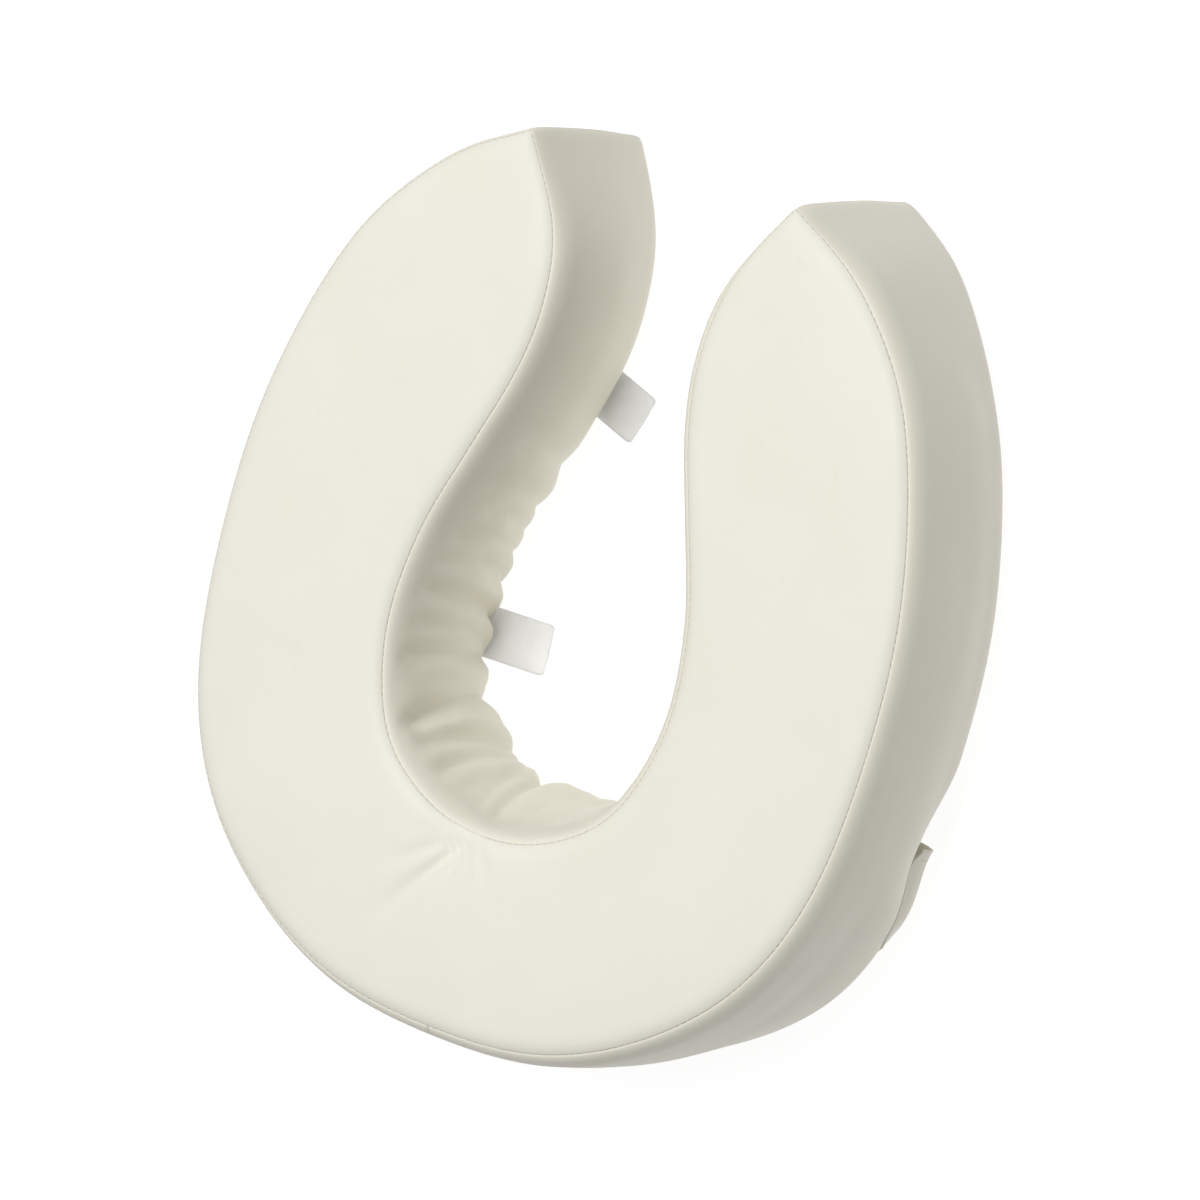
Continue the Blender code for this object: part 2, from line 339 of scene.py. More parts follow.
def ring(inset):
    """The outline moved inwards by the inset, as a loop of LOOP points."""
    moved = BASE_LINE - BASE_NORMALS * inset
    index = np.arange(len(moved))
    kept = np.ones(len(moved), bool)
    if inset > 0:
        gaps = np.linalg.norm(moved[:, None] - BASE_LINE[None], axis=2).min(axis=1)
        kept = gaps > inset - 0.12
    outer = moved[kept & (index < TIP_INDEX)]
    inner = moved[kept & (index > TIP_INDEX)]
    tip = moved[TIP_INDEX] if kept[TIP_INDEX] else (outer[-1] + inner[0]) / 2
    outer = resample(np.vstack([outer, tip]), SIDE)
    inner = resample(np.vstack([tip, inner]), SIDE)
    return mirrored_loop(np.vstack([outer, inner[1:]]))


def ease(low, high, value):
    """0 below low, 1 above high, and smooth between them. low may be above high."""
    t = np.clip((value - low) / (high - low), 0, 1)
    return t * t * (3 - 2 * t)


def bell(value, middle, half_width):
    return np.exp(-(((value - middle) / half_width) ** 2))


def loop_normals(loop):
    """Outward unit normals of a closed anticlockwise loop."""
    along = np.roll(loop, -1, axis=0) - np.roll(loop, 1, axis=0)
    normals = np.stack([along[:, 1], -along[:, 0]], axis=1)
    return normals / np.linalg.norm(normals, axis=1)[:, None]


# Where each point of a loop is: on which edge, and how far along it from the plane of symmetry.
# The inner arc is positive on the right arm and grows towards its tip.
EDGE = ring(0.0)
EDGE_NORMALS = loop_normals(EDGE)
INNER_LENGTH = length_of(EDGE[SIDE : 2 * SIDE + 1])
OUTER_LENGTH = length_of(EDGE[: SIDE + 1])
NUMBER = np.arange(LOOP)
IS_INNER = (NUMBER > SIDE) & (NUMBER < 3 * SIDE)
IS_RIGHT = NUMBER < 2 * SIDE
INNER_ARC = (2 * SIDE - NUMBER) * INNER_LENGTH / SIDE
OUTER_ARC = np.where(NUMBER <= 2 * SIDE, NUMBER, NUMBER - LOOP) * OUTER_LENGTH / SIDE
STEPS_FROM_TIP = np.minimum(np.abs(NUMBER - SIDE), np.abs(NUMBER - 3 * SIDE))
FROM_TIP = STEPS_FROM_TIP * np.where(IS_INNER, INNER_LENGTH, OUTER_LENGTH) / SIDE
BESIDE_TIP = ease(INNER_LENGTH - 8, INNER_LENGTH - 60, np.abs(INNER_ARC))


def of_ring(number):
    """Where a ring's points are among the cover's."""
    return slice(number * LOOP, (number + 1) * LOOP)


def gather_push(arc, height):
    """How far the inner wall stands out at an arc position and a height, folds being negative."""
    push = np.zeros_like(arc)
    for top, middle, base, start, depth, half_width in GATHERS:
        at = np.interp(height, (10, 48, 86), (base, middle, top))
        grown = ease(start + 4, start - 14, height) * (0.8 + 0.2 * ease(60, 20, height))
        for side in (-1, 1):
            shift = 0 if side < 0 else 3.5 * math.sin(middle)
            away = (arc if side < 0 else -arc) - at - shift
            near = GATHER_STRENGTH * depth * grown
            push -= near * np.exp(-np.abs(away / half_width) ** 1.6)
            for ridge in (-2.1, 2.1):
                push += 0.33 * near * bell(away, half_width * ridge, half_width * 1.3)
    return push


def foot_push(arc, height):
    """How far the inner wall of the closed end stands into the opening towards its foot."""
    rise = ease(99, 16, height) * (1 - 0.25 * ease(14, 2, height))
    swell = FOOT_SWELL * ease(98, 56, np.abs(arc))
    lobe = LOBE_SWELL * ease(-32, -10, arc) * ease(50, 14, arc)
    return (swell + lobe) * rise


def lobe_folds(arc, height):
    """How far the bunched part's folds push the inner wall."""
    push = np.zeros_like(arc)
    for top, foot, depth, half_width in LOBE_FOLDS:
        at = np.interp(height, (10, 99), (foot, top))
        push -= depth * bell(arc, at, half_width) * ease(99, 70, height)
    return push


def tip_shift(level):
    """How the tips are moved in the plan at a height, for each point of a loop."""
    foot = min(max((100 - level) / 88, 0), 1)
    right = np.array(RIGHT_TIP_TOP) * (1 - foot) + np.array(RIGHT_TIP_FOOT) * foot
    left = np.array(LEFT_TIP_TOP) * (1 - foot) + np.array(LEFT_TIP_FOOT) * foot
    at_right = np.where(IS_INNER, ease(66, 0, FROM_TIP), ease(60 + 55 * foot, 0, FROM_TIP))
    at_left = np.where(IS_INNER, ease(75, 0, FROM_TIP), ease(90, 0, FROM_TIP))
    return np.outer(at_right * IS_RIGHT, right) + np.outer(at_left * ~IS_RIGHT, left)


def bulge_share(level):
    """How much of the strip's bulge each point of a loop takes on at a height."""
    right = END_BULGE + (1 - END_BULGE) * ease(30, 160, OUTER_ARC)
    left = END_BULGE + (LEFT_BULGE - END_BULGE) * ease(-40, -190, OUTER_ARC)
    share = np.where(IS_INNER, 1.0, np.where(OUTER_ARC < 0, left, right))
    share = 1 + (share - 1) * ease(28, 66, level)
    tip = np.where(IS_INNER, ease(70, 10, FROM_TIP), ease(60, 10, FROM_TIP))
    return share + (TIP_BULGE - share) * tip


def edge_lift(y, outer_gap):
    """How far the cover's lower edge is drawn up beside the pocket's mouth."""
    before = ease(MOUTH_Y + 46, MOUTH_Y + 2, y)
    behind = ease(POCKET_BACK_Y + 1, MOUTH_Y - 2, y)
    return MOUTH_LIFT * before * behind * ease(48, 8, outer_gap)


def drop(y):
    """How far the underside comes down on the pocket's panel, behind the pocket's mouth."""
    return -LAP * ease(MOUTH_Y - 8, MOUTH_Y - 60, y)


def pocket_push(y, level):
    """How far the outer wall's foot stands out over the pocket."""
    along = ease(MOUTH_Y - 2, MOUTH_Y - 36, y) * ease(BACK + 8, BACK + 70, y)
    return POCKET_SWELL * along * ease(60, 14, level) * (1 - 0.4 * ease(12, 3, level))


def lower_weight(height):
    """How much of the underside's shape a height takes on."""
    return ease(34, 4, height)


def shaped(points, heights, gaps):
    """Draws the underside up beside the pocket's mouth and down behind it."""
    weight = lower_weight(heights)
    lift = edge_lift(points[:, 1], gaps)
    return heights + weight * (lift + drop(points[:, 1]))


def pucker(points):
    """How deep the top panel's wrinkles are at each point. They don't add up where they meet."""
    away = points - WRINKLE_START
    reach = np.linalg.norm(away, axis=1)
    angle = np.degrees(np.arctan2(away[:, 1], away[:, 0]))
    dent = np.zeros(len(points))
    for heading, depth, far in WRINKLES:
        sideways = reach * np.sin(np.radians(angle - heading))
        along = reach * np.cos(np.radians(angle - heading))
        width = 1.5 + along.clip(0) * 0.06
        wrinkle = depth * bell(sideways, 0, width) * ease(-2, 14, along) * ease(far, 0, along)
        dent = np.maximum(dent, wrinkle)
    return dent


def wall_inset(height):
    """The wall's inset at a height: it bulges, and is drawn in towards its foot."""
    full = WALL_INSET + (FULL_WALL_INSET - WALL_INSET) * ease(88, 66, height)
    return full + (LOW_WALL_INSET - full) * ease(50, 14, height)


SECTIONS = (
    *TOP_RINGS,
    SEAM_RING,
    *STRIP_TOP_RINGS,
    *((wall_inset(height), height) for height in WALL_HEIGHTS),
    *STRIP_BASE_RINGS,
    BASE_SEAM_RING,
    *BASE_RINGS,
)


def wall_weight(inset, height):
    """How much of the inner wall's shape a ring takes on."""
    if height < 20:
        return ease(20.0, 8.0, inset)
    return ease(6.0, 1.0, inset) if inset > 0 else 1.0


def cover_surface():
    """The whole cover as one closed surface: points, and where the two across parts start."""
    rings = []
    seam = ring(SEAM_RING[0])
    for inset, level in SECTIONS:
        plan = ring(inset)
        height = np.full(LOOP, level)
        share = bulge_share(level)
        if inset < SEAM_RING[0]:
            plan = seam + (plan - seam) * share[:, None]
        push = share * 1.1 * np.sin(np.pi * np.clip(level / 102, 0, 1)) * ease(101, 90, level)
        inner = foot_push(INNER_ARC, height) * BESIDE_TIP * wall_weight(inset, level)
        foot = pocket_push(EDGE[:, 1], level) * (ease(24, 8, inset) if level < 20 else 1)
        push = push + np.where(IS_INNER, inner, foot)
        plan = plan + EDGE_NORMALS * push[:, None]
        plan = plan + tip_shift(level) * (ease(30, 8, inset) if level < 20 else 1)
        gap = np.where(IS_INNER, 60, max(inset, 0))
        drawn_in = 2.5 * lower_weight(height) * edge_lift(plan[:, 1], gap) / 8
        plan = plan - EDGE_NORMALS * drawn_in[:, None]
        rings.append(np.column_stack([plan, shaped(plan, height, gap)]))
    top = across(rings[0], TOP_ACROSS, TOP_HEIGHT - rings[0][0, 2])
    bottom = across(rings[-1], BOTTOM_ACROSS, 0.0)
    start_top = len(rings) * LOOP
    return np.vstack([*rings, top, bottom]), start_top, start_top + len(top)


def gather(points):
    """Draws the folds into the inner wall of the puffed cover."""
    for number, (inset, level) in enumerate(SECTIONS):
        height = np.full(LOOP, level)
        push = gather_push(INNER_ARC, height) + lobe_folds(INNER_ARC, height)
        push = np.where(IS_INNER, push * BESIDE_TIP * wall_weight(inset, level), 0)
        points[of_ring(number), :2] += EDGE_NORMALS * push[:, None]


def across(loop, count, rise, side=SIDE):
    """Points on the lines that join a loop's outer edge to its inner one, station by station."""
    share = (np.arange(1, count + 1) / (count + 1))[:, None]
    lines = []
    for station in range(1 - side, side):
        outer, inner = station_ends(station, side)
        line = loop[outer] * (1 - share) + loop[inner] * share
        line[:, 2] += rise * np.sin(np.pi * share[:, 0]) ** 0.5
        lines.append(line)
    return np.vstack(lines)


def station_ends(station, side):
    """Loop indices of the outer and inner ends of a line across an arm."""
    return station % (4 * side), 2 * side - station


def ring_faces(first, second, loop=LOOP):
    """Quads between two rings, given by their numbers."""
    a = np.arange(loop)
    b = (a + 1) % loop
    first, second = first * loop, second * loop
    quads = np.stack([first + a, second + a, second + b, first + b], axis=1)
    return [tuple(quad) for quad in quads.tolist()]


def across_faces(ring_number, start, count, side=SIDE):
    """Faces of the part that the lines across the arms fill."""
    first = ring_number * 4 * side
    column = {}
    for station in range(1 - side, side):
        outer, inner = station_ends(station, side)
        begin = start + (station + side - 1) * count
        column[station] = [first + outer, *range(begin, begin + count), first + inner]
    faces = []
    for station in range(1 - side, side - 1):
        a, b = column[station], column[station + 1]
        faces += [(a[k], b[k], b[k + 1], a[k + 1]) for k in range(count + 1)]
    for station, tip in ((side - 1, first + side), (1 - side, first + 3 * side)):
        a = column[station]
        for k in range(count + 1):
            faces.append((a[k], tip, a[k + 1]) if station > 0 else (tip, a[k], a[k + 1]))
    return faces


def mesh_object(name, points, faces, material=None):
    """An object from points in millimetres, smooth shaded."""
    mesh = bpy.data.meshes.new(name)
    mesh.from_pydata((np.asarray(points) * MM).tolist(), [], [tuple(map(int, f)) for f in faces])
    mesh.shade_smooth()
    if material:
        mesh.materials.append(material)
    obj = bpy.data.objects.new(name, mesh)
    bpy.context.scene.collection.objects.link(obj)
    return obj


def vertex_normals(points, faces):
    """Unit normals of a mesh's points, averaged over their faces."""
    normals = np.zeros_like(points)
    for size in (3, 4):
        group = np.array([f for f in faces if len(f) == size])
        if not len(group):
            continue
        corners = [points[group[:, corner]] for corner in range(size)]
        if size == 3:
            across_face = np.cross(corners[1] - corners[0], corners[2] - corners[0])
        else:
            across_face = np.cross(corners[2] - corners[0], corners[3] - corners[1])
        for corner in range(size):
            np.add.at(normals, group[:, corner], across_face)
    return normals / np.maximum(np.linalg.norm(normals, axis=1), 1e-9)[:, None]


def shell(points, faces, thickness):
    """A skin with a thickness, from the faces of its outer side. Returns points and faces."""
    faces = [tuple(map(int, f)) for f in faces]
    used = np.unique(np.concatenate([np.array(f) for f in faces]))
    renumber = np.zeros(len(points), int)
    renumber[used] = np.arange(len(used))
    outer = points[used]
    faces = [tuple(renumber[list(f)]) for f in faces]
    inner = outer - vertex_normals(outer, faces) * thickness
    count = len(outer)
    sides = {}
    for f in faces:
        for a, b in zip(f, f[1:] + f[:1]):
            if (b, a) in sides:
                del sides[b, a]
            else:
                sides[a, b] = True
    every = list(faces)
    every += [tuple(i + count for i in reversed(f)) for f in faces]
    every += [(b, a, a + count, b + count) for a, b in sides]
    return np.vstack([outer, inner]), every


def puffed(points, faces, weights, caps):
    """The surface after a cloth simulation with air pressure inside it. weights pin the points,
    and caps say how far each may move."""
    scene = bpy.context.scene
    obj = mesh_object("cover_simulation", points, faces)
    group = obj.vertex_groups.new(name="held")
    for weight in np.unique(weights):
        group.add(np.flatnonzero(weights == weight).tolist(), float(weight), "REPLACE")
    cloth = obj.modifiers.new("Cloth", "CLOTH")
    settings = cloth.settings
    settings.quality = 4
    settings.mass = 0.25
    settings.tension_stiffness = 30
    settings.compression_stiffness = 30
    settings.shear_stiffness = 12
    settings.bending_stiffness = 1.5
    settings.use_pressure = True
    settings.uniform_pressure_force = PRESSURE
    settings.vertex_group_mass = "held"
    settings.effector_weights.gravity = 0
    cloth.point_cache.frame_start = 1
    cloth.point_cache.frame_end = CLOTH_FRAMES
    for number in range(1, CLOTH_FRAMES + 1):
        scene.frame_set(number)
    evaluated = obj.evaluated_get(bpy.context.evaluated_depsgraph_get())
    result = np.empty(len(points) * 3)
    evaluated.data.vertices.foreach_get("co", result)
    moved = result.reshape(-1, 3) / MM - points
    bpy.data.objects.remove(obj)
    scene.frame_set(1)
    far = np.linalg.norm(moved, axis=1)
    share = caps * np.tanh(far / np.maximum(caps, 1e-6)) / np.maximum(far, 1e-9)
    return points + moved * share[:, None]


def freedom(count, start_top, start_bottom):
    """How the simulation holds each point of the cover: its weight and how far it may move."""
    weights, most = np.ones(count), np.full(count, 0.01)
    weights[of_ring(0)], most[of_ring(0)] = 0.3, 0.4
    for number in range(FIRST_WALL - 2, FOOT_RING + 3):
        from_end = min(number - FIRST_WALL + 3, FOOT_RING + 4 - number)
        weights[of_ring(number)] = 0.0
        most[of_ring(number)] = min(MOST_MOVED, 0.5 * from_end)
    weights[start_top:start_bottom] = 0.0
    most[start_top:start_bottom] = TOP_MOVED
    return weights, most


def cover_mesh():
    """The cover's points, the same without its folds, its faces, and the faces of each part."""
    points, start_top, start_bottom = cover_surface()
    last = len(SECTIONS) - 1
    rings = [ring_faces(k, k + 1) for k in range(last)]
    top = across_faces(0, start_top, TOP_ACROSS)
    bottom = [f[::-1] for f in across_faces(last, start_bottom, BOTTOM_ACROSS)]
    faces = sum(rings, []) + top + bottom
    parts = {
        "top_panel": sum(rings[:TOP_SEAM], []) + top,
        "boxing_strip": sum(rings[TOP_SEAM:BASE_SEAM], []),
        "bottom_panel": sum(rings[BASE_SEAM:], []) + bottom,
    }
    points = puffed(points, faces, *freedom(len(points), start_top, start_bottom))
    smooth = points.copy()
    gather(points)
    for where in (slice(start_top, start_bottom), slice(0, TOP_SEAM * LOOP)):
        points[where, 2] -= pucker(points[where, :2])
    return points, smooth, faces, parts


def dashes(line, length, gap, radius):
    """Stitches along a line of 3-D points: short tapered threads. Returns points and faces."""
    at = np.concatenate([[0], np.cumsum(np.linalg.norm(np.diff(line, axis=0), axis=1))])
    count = max(1, int((at[-1] + gap) // (length + gap)))
    pitch = at[-1] / count
    turns = np.arange(6) * math.pi / 3
    points, faces = [], []
    for k in range(count):
        span = k * pitch + np.array((0.0, 0.22, 0.78, 1.0)) * (pitch - gap)
        middle = np.stack([np.interp(span, at, line[:, c]) for c in range(3)], axis=1)
        along = middle[-1] - middle[0]
        along /= np.linalg.norm(along)
        side = np.cross(along, (0.31, 0.17, 0.93))
        side /= np.linalg.norm(side)
        up = np.cross(side, along)
        start = len(points)
        points += [middle[0], middle[3]]
        for centre in middle[1:3]:
            points += [centre + radius * (side * math.cos(t) + up * math.sin(t)) for t in turns]
        first, second = start + 2, start + 8
        for t in range(6):
            n = (t + 1) % 6
            faces.append((start, first + n, first + t))
            faces.append((first + t, first + n, second + n, second + t))
            faces.append((start + 1, second + t, second + n))
    return np.array(points), faces


def joined(*parts):
    """Several sets of points and faces as one."""
    points, faces, count = [], [], 0
    for part_points, part_faces in parts:
        points.append(part_points)
        faces += [tuple(i + count for i in f) for f in part_faces]
        count += len(part_points)
    return np.vstack(points), faces


def grid_faces(rows, columns):
    index = np.arange(rows * columns).reshape(rows, columns)
    return [
        tuple(f)
        for f in np.stack(
            [index[:-1, :-1], index[1:, :-1], index[1:, 1:], index[:-1, 1:]], axis=-1
        ).reshape(-1, 4)
    ]


def add_piece(name, points, faces, material, slot, *nodes):
    """A piece that moves with the cushion and stands in for CAD nodes."""
    obj = mesh_object(name, points, faces, material)
    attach(obj, "cushion")
    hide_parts(*nodes)
    return obj


def add_cover(points, parts, vinyl, strip_vinyl_warm_shade, thread):
    """The three parts of the cover, each with its thickness, and the stitches of the two seams."""
    at_seam = np.zeros(len(points))
    for number in (TOP_SEAM, BASE_SEAM):
        at_seam[of_ring(number)] = 1.0
    at_joint = (1 - np.abs(points[:, 0]) / 10).clip(0) * (points[:, 1] < BACK + 20)
    for node_name, faces in parts.items():
        is_strip = node_name == "boxing_strip"
        # The strip takes the warmer copy of the vinyl, which is painted shade
        look = strip_vinyl_warm_shade if is_strip else vinyl
        skin = shell(points, faces, SKIN)
        panel = add_piece(f"{node_name}_cover", *skin, look, "ivory_vinyl", node_name)
        paint(panel, faces, seam=at_seam, joint=at_joint * is_strip)
    for number, lift, node_name in (
        (TOP_SEAM, 0.02, "top_seam_thread"),
        (BASE_SEAM, -0.3, "bottom_seam_thread"),
    ):
        line = points[of_ring(number)] + (0, 0, lift)
        stitches = dashes(np.vstack([line, line[:1]]), 3.1, 0.7, 0.2)
        add_piece(f"{node_name}_stitches", *stitches, thread, "thread", node_name)


def paint(obj, faces, **values):
    """Stores values of the cover's points, for the material, on a shell made of these faces."""
    used = np.unique([corner for face in faces for corner in face])
    for name, value in values.items():
        attribute = obj.data.attributes.new(name, "FLOAT", "POINT")
        attribute.data.foreach_set("value", np.tile(value[used], 2).astype(np.float32))


def add_foam(points, faces, foam):
    """The foam block: the unfolded cover's surface moved inwards, with a coarser mesh."""
    side = SIDE // FOAM_STEP
    inside = points - vertex_normals(points, faces) * (SKIN + FOAM_GAP)
    room = np.where(IS_INNER, FOLD_ROOM * ease(INNER_LENGTH, 250, np.abs(INNER_ARC)), 0)
    room = np.pad(EDGE_NORMALS * room[:, None], ((0, 0), (0, 1)))
    chosen = (0, FIRST_WALL - 3, *range(FIRST_WALL, FOOT_RING + 2, 4), FOOT_RING + 3)
    rings = [(inside[of_ring(k)] - room * (k > 0))[::FOAM_STEP] for k in chosen]
    rings.append(rings[-1] - np.pad(EDGE_NORMALS[::FOAM_STEP] * FOAM_CORNER, ((0, 0), (0, 1))))
    top = across(rings[0], FOAM_ACROSS, 0.0, side)
    bottom = across(rings[-1], FOAM_ACROSS, 0.0, side)
    for part in (rings[-1], bottom):
        part[:, 2] = shaped(part, np.full(len(part), BASE_HEIGHT), 0) + SKIN + FOAM_BASE_GAP
    last, loop = len(rings) - 1, 4 * side
    block_faces = [f for k in range(last) for f in ring_faces(k, k + 1, loop)]
    start = len(rings) * loop
    block_faces += across_faces(0, start, FOAM_ACROSS, side)
    block_faces += [f[::-1] for f in across_faces(last, start + len(top), FOAM_ACROSS, side)]
    block_points = np.vstack([*rings, top, bottom])
    block = add_piece("foam_block", block_points, block_faces, foam, "foam", "foam_core")


def pocket_profile(share):
    """The pocket's rim at a share of its full height: inset and height of its outer side."""
    at = (0.0, 0.25, 0.5, 0.7, 0.85, 1.0)
    inset = np.interp(share, at, (9.0, 4.8, 1.4, -0.4, -0.7, -0.2))
    height = np.interp(share, at, (0.1, 0.5, 2.9, 7.0, 11.5, 15.5))
    return inset, height


def pocket_rim(outer, normals, upper, foot):
    """Rows of the pocket's rim from its upper edge down. Towards the mouth it stands up, and is
    sewn to the wall at the points upper and foot."""
    y = outer[:, 1]
    grown = ease(POCKET_BACK_Y, MOUTH_Y - 25, y)
    sewn = ease(0.25, 0.75, grown) * (0.45 + 0.55 * ease(MOUTH_Y - 1, MOUTH_Y - 7, y))
    agape = MOUTH_GAP * ease(MOUTH_Y - 8, MOUTH_Y, y)
    swell = pocket_push(y, 14)
    rows = []
    for share in np.linspace(1, 0, 12):
        inset, height = pocket_profile(share * grown)
        height = height + 0.5 * (1 - grown) * share
        out = agape * ease(0.3, 0.9, share) + swell * ease(0.1, 0.5, share * grown) - inset
        row = np.column_stack([outer + normals * out[:, None], height])
        hold = (sewn * ease(0.6, 0.9, share))[:, None]
        rows.append(row * (1 - hold) + (upper if share == 1 else foot) * hold)
    return rows


def pocket_floor(base, inner):
    """Rows of the pocket's flat part, from its rim's foot to the opening's edge."""
    rows = []
    for share in np.linspace(0, 1, 15)[1:]:
        plan = base * (1 - share) + inner * share
        sag = 0.25 * np.sin(np.pi * share) * np.sin(plan[:, 0] * 0.12)
        rows.append(np.column_stack([plan, 0.1 + np.abs(sag)]))
    return rows


def pocket_grid(cover):
    """The pocket's panel as columns of points, from the left end of its mouth to the right one."""
    stop = int(np.argmax(EDGE[: SIDE + 1, 1] > MOUTH_Y))
    index = np.arange(-stop, stop + 1) % LOOP
    outer, normals = EDGE[index], EDGE_NORMALS[index]
    clear = np.column_stack([normals * (POCKET_SKIN + 0.05), np.zeros(len(index))])
    upper = cover[of_ring(FOOT_RING - 1)][index] - clear * 0.3
    foot = cover[of_ring(FOOT_RING)][index] + clear
    inner_right = (EDGE - EDGE_NORMALS * POCKET_MARGIN)[2 * SIDE : SIDE : -1]
    last = int(np.argmax(inner_right[:, 1] > MOUTH_Y - 0.5))
    inner_half = resample(inner_right[: last + 1], stop)
    inner = np.vstack([(inner_half * (-1, 1))[:0:-1], inner_half])
    outer[[0, -1], 1] = MOUTH_Y
    inner[[0, -1], 1] = MOUTH_Y
    rows = pocket_rim(outer, normals, upper, foot)
    rows += pocket_floor(rows[-1][:, :2], inner)
    return np.array(rows).transpose(1, 0, 2)


def add_pocket(cover, vinyl, thread):
    """The pocket under the closed end, and the stitches of its hem beside the mouth."""
    grid = pocket_grid(cover)
    columns, rows = grid.shape[:2]
    faces = [f[::-1] for f in grid_faces(columns, rows)]
    skin = shell(grid.reshape(-1, 3), faces, POCKET_SKIN)
    add_piece("pocket_skin", *skin, vinyl, "ivory_vinyl", "pocket_panel")
    middle, hem_y = columns // 2, MOUTH_Y - HEM / 2
    for half, name in ((grid[middle::-1], "left"), (grid[middle:], "right")):
        line = []
        for row in range(3, rows - 1):
            line.append([np.interp(hem_y, half[:, row, 1], half[:, row, k]) for k in range(3)])
        stitches = dashes(np.array(line) + (0, 0, 0.22), 3.2, 0.9, 0.28)
        add_piece(f"{name}_hem_stitches", *stitches, thread, "thread", f"{name}_hem_thread")


def strap_place(name):
    """Where a strap folds, seen from above, and unit vectors into the opening and across it."""
    joint = next(j for j in frame["joints"] if j["name"] == f"{name}_strap_fold")
    hinge = np.array(joint.get("pos_m") or joint["pos"]) / MM * (1, 1, 0)
    axis = np.array(joint["axis"])
    return hinge, np.array((axis[1], -axis[0], 0.0)), np.array((axis[0], axis[1], 0.0))


def tape_rows(name, hinge, inwards, across_tape):
    """Rows across the tape's upper side, from its sewn end to the rounded free one, which rises."""
    free_end = FREE_LENGTH - np.array((3.0, 2.6, 2.1, 1.5, 0.9, 0.45, 0.15, 0.0))
    along = np.concatenate(
        [np.linspace(-ROOT_LENGTH, 8, 14), np.linspace(11, FREE_LENGTH - 6, 38), free_end]
    )
    sides = np.linspace(-1, 1, 13)
    rows = []
    for x in along:
        past = max(0.0, x - (FREE_LENGTH - TAPE_CORNER))
        width = TAPE_WIDTH / 2 - TAPE_CORNER + math.sqrt(max(TAPE_CORNER**2 - past**2, 0.0))
        free = ease(70, FREE_LENGTH, x)
        wave = 0.22 * math.sin(x * 0.23 + len(name)) * ease(-4, 10, x) * ease(70, 60, x)
        height = 0.42 + abs(wave) + 2.6 * free**2
        bow = 0.5 * free * (1 - sides**2)
        edge = 0.1 * (np.abs(sides) > 0.85)
        rows.append(
            hinge
            + inwards * x
            + across_tape * (sides * width)[:, None]
            + np.outer(height + TAPE_SKIN + bow - edge, (0, 0, 1))
        )
    return rows


def box_stitches(hinge, inwards, across_tape):
    """A box with a cross, above and below the tape's sewn end."""
    near, far, reach = -ROOT_LENGTH + 1.8, -2.0, TAPE_WIDTH / 2 - 3.0
    path = ((near, -reach), (far, -reach), (far, reach), (near, reach), (near, -reach), (far, reach))
    spans = [*zip(path, path[1:]), ((near, reach), (far, -reach))]
    stitches = []
    for height in (0.36, 1.5):
        for span in spans:
            line = [hinge + inwards * x + across_tape * side + (0, 0, height) for x, side in span]
            stitches.append(dashes(np.array(line), 2.4, 0.7, 0.26))
    return joined(*stitches)


def add_strap(name, tape, hooks, thread):
    """A tape sewn on under the arm's outer edge, its stitches and its patch of hooks."""
    hinge, inwards, across_tape = strap_place(name)
    rows = tape_rows(name, hinge, inwards, across_tape)
    points = np.vstack(rows)
    faces = outward_up(points, grid_faces(len(rows), len(rows[0])))
    skin = mesh_object(f"{name}_tape", *shell(points, faces, TAPE_SKIN), tape)
    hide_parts(f"{name}_strap", f"{name}_strap_anchor")
    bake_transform(skin)
    stitches = box_stitches(hinge, inwards, across_tape)
    add_piece(f"{name}_box_stitches", *stitches, thread, "thread", f"{name}_strap_box_stitch")
    add_patch(name, inwards, across_tape, hooks, thread)


def outward_up(points, faces):
    """The faces, turned so that they look upwards."""
    a, b, c = (points[list(faces[0])[k]] for k in range(3))
    return faces if np.cross(b - a, c - b)[2] > 0 else [f[::-1] for f in faces]


def patch_outline(half_long, half_wide):
    """A rectangle with rounded corners."""
    outline = []
    for x, side, start in ((1, 1, 0), (-1, 1, 90), (-1, -1, 180), (1, -1, 270)):
        for turn in range(0, 91, 30):
            angle = math.radians(start + turn)
            outline.append(
                (
                    x * (half_long - PATCH_CORNER) + PATCH_CORNER * math.cos(angle),
                    side * (half_wide - PATCH_CORNER) + PATCH_CORNER * math.sin(angle),
                )
            )
    return np.array(outline)


def add_patch(name, inwards, across_tape, hooks, thread):
    """A patch of hook tape with rounded corners, sewn round its edge to the bottom panel."""
    low, high = (np.array(corner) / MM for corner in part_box(f"{name}_hook_patch"))
    centre = (low + high) / 2 * (1, 1, 0)
    half_size = np.array((PATCH_HALF, TAPE_WIDTH / 2))

    def placed(plan, height):
        return centre + plan[:, :1] * inwards + plan[:, 1:] * across_tape + (0, 0, height)

    outline = patch_outline(*half_size)
    reach, count = np.abs(outline).max(axis=0), len(outline)
    rings = [
        placed(outline * (1 - inset / reach), height)
        for inset, height in ((1.4, low[2]), (0.4, low[2] + 0.12), (0.0, low[2] + 0.5), (0.0, high[2]))
    ]
    faces = [face for k in range(3) for face in ring_faces(k, k + 1, count)]
    faces = [f[::-1] for f in faces]
    faces.append(tuple(range(count))[::-1])
    faces.append(tuple(3 * count + i for i in range(count)))
    if np.dot(np.cross(inwards, across_tape), (0, 0, 1)) < 0:
        faces = [f[::-1] for f in faces]
    patch = np.vstack(rings)
    add_piece(f"{name}_hooks", patch, faces, hooks, "hook_tape", f"{name}_hook_patch")
    seam = np.vstack([outline, outline[:1]]) * (1 - 1.8 / half_size)
    line = placed(seam, low[2] + 0.02)
    stitches = mesh_object(f"{name}_patch_stitches", *dashes(line, 2.6, 0.8, 0.25), thread)
    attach(stitches, "cushion")


